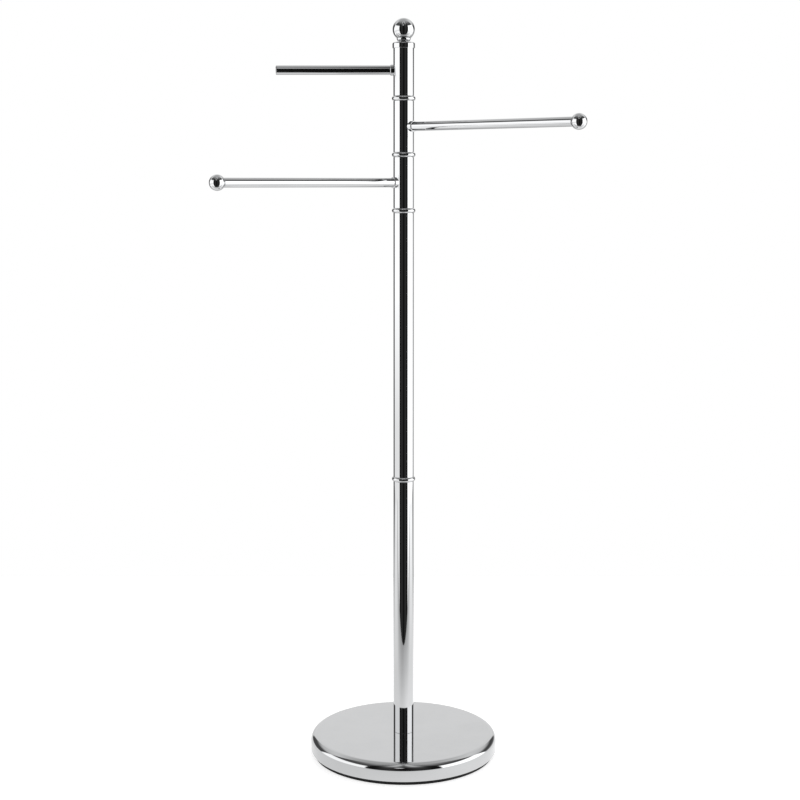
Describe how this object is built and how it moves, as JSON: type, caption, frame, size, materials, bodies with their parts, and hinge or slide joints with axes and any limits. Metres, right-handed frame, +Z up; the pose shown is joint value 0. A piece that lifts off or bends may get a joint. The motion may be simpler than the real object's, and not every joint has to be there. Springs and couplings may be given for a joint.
{
  "type": "free-standing towel stand",
  "caption": "Free-standing chromed towel stand with a round weighted base, a slim two-piece post, swivel arms at stepped heights and a ball finial.",
  "frame": {"origin": "on the floor under the post's axis, at the centre of the underside of the floor pad", "axes": "+Z up along the post, +X to the viewer's right, +Y away from the viewer; the short top arm points to -X at rest"},
  "size_m": [0.4188, 0.2813, 0.9005],
  "materials": {
    "chrome": "bright polished chrome plate",
    "zinc_steel": "zinc-plated turned steel",
    "cast_iron": "rough casting, unpainted",
    "black_plastic": "moulded, fine texture",
    "black_rubber": "matt",
    "white_nylon": "machined natural nylon"
  },
  "bodies": {
    "stand": {"floor_pad": "black_rubber", "under_plate": "black_plastic", "base_weight": "cast_iron", "base_cover": "chrome", "base_washer": "zinc_steel", "base_spring_washer": "zinc_steel", "base_bolt": "zinc_steel", "post_foot_plug": "zinc_steel", "lower_tube": "chrome", "lower_tube_top_plug": "zinc_steel", "coupling_ring": "chrome", "coupling_stud": "zinc_steel", "upper_tube_foot_plug": "zinc_steel", "upper_tube": "chrome", "upper_tube_top_plug": "zinc_steel", "pivot_spindle": "zinc_steel", "spacer_ring_lower": "chrome", "spacer_ring_middle": "chrome", "spacer_ring_upper": "chrome", "wave_washer": "zinc_steel", "top_cap": "chrome", "finial_collar": "chrome", "finial_ball": "chrome"},
    "left_arm": {"left_sleeve": "chrome", "left_lower_bush": "white_nylon", "left_upper_bush": "white_nylon", "left_arm_root": "chrome", "left_arm_screw": "zinc_steel", "left_arm_tube": "chrome", "left_end_insert": "zinc_steel", "left_end_ball": "chrome"},
    "right_arm": {"right_sleeve": "chrome", "right_lower_bush": "white_nylon", "right_upper_bush": "white_nylon", "right_arm_root": "chrome", "right_arm_screw": "zinc_steel", "right_arm_tube": "chrome", "right_end_insert": "zinc_steel", "right_end_ball": "chrome"},
    "top_arm": {"top_sleeve": "chrome", "top_lower_bush": "white_nylon", "top_upper_bush": "white_nylon", "top_arm_root": "chrome", "top_arm_screw": "zinc_steel", "top_arm_tube": "chrome", "top_end_plug": "chrome"}
  },
  "joints": [
    {"name": "left_arm_swivel", "type": "hinge", "parent": "stand", "child": "left_arm", "pos_m": [0, 0, 0.7055], "axis": [0, 0, 1], "continuous": true},
    {"name": "right_arm_swivel", "type": "hinge", "parent": "stand", "child": "right_arm", "pos_m": [0, 0, 0.7723], "axis": [0, 0, 1], "continuous": true},
    {"name": "top_arm_swivel", "type": "hinge", "parent": "stand", "child": "top_arm", "pos_m": [0, 0, 0.8391], "axis": [0, 0, 1], "continuous": true}
  ]
}
